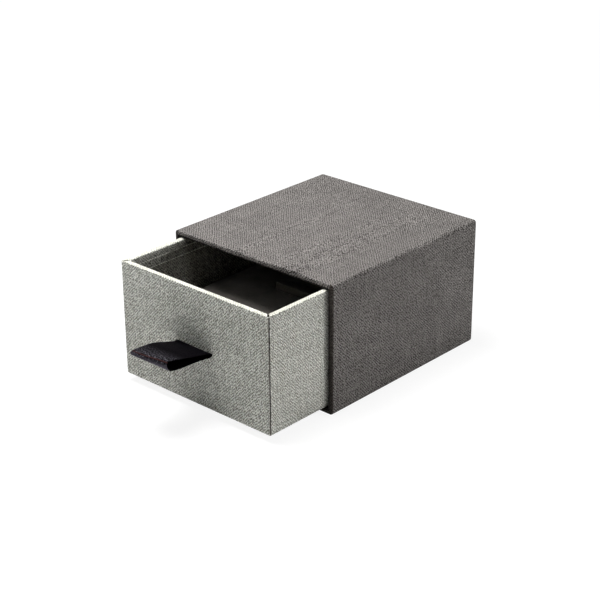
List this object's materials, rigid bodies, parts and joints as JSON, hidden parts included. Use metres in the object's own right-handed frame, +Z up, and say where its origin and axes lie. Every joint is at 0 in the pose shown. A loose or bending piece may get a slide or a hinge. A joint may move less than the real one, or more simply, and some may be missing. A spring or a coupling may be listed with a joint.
{
  "type": "ring box with drawer",
  "caption": "Small rigid gift box for a ring: a padded tray with a ribbon pull slides out of a board sleeve closed at the back.",
  "frame": {"origin": "centre of the sleeve's underside, on the surface that the box stands on", "axes": "+Z up, -Y towards the mouth and the drawer's front, +X to the right as seen from the front"},
  "size_m": [0.065, 0.1107, 0.042],
  "materials": {
    "grey_board": "matte",
    "dark_linen_paper": "matte",
    "lining_paper": "matte",
    "pale_linen_paper": "matte",
    "pad_card": "matte",
    "pad_foam": "matte",
    "pad_pile": "matte",
    "satin_ribbon": "satin"
  },
  "bodies": {
    "sleeve": {"sleeve_top_board": "grey_board", "sleeve_bottom_board": "grey_board", "sleeve_left_board": "grey_board", "sleeve_right_board": "grey_board", "sleeve_back_board": "grey_board", "sleeve_wrap": "dark_linen_paper", "sleeve_back_sheet": "dark_linen_paper", "sleeve_base_sheet": "dark_linen_paper", "sleeve_lining": "lining_paper"},
    "drawer": {"drawer_base_board": "grey_board", "drawer_left_board": "grey_board", "drawer_right_board": "grey_board", "drawer_back_board": "grey_board", "drawer_front_board": "grey_board", "drawer_wrap": "pale_linen_paper", "pad_card": "pad_card", "foam_insert": "pad_foam", "insert_cover": "pad_pile", "ribbon_pull": "satin_ribbon"}
  },
  "joints": [
    {"name": "drawer_slide", "type": "slide", "parent": "sleeve", "child": "drawer", "axis": [0, -1, 0], "range_m": [-0.0243, 0.043]}
  ]
}
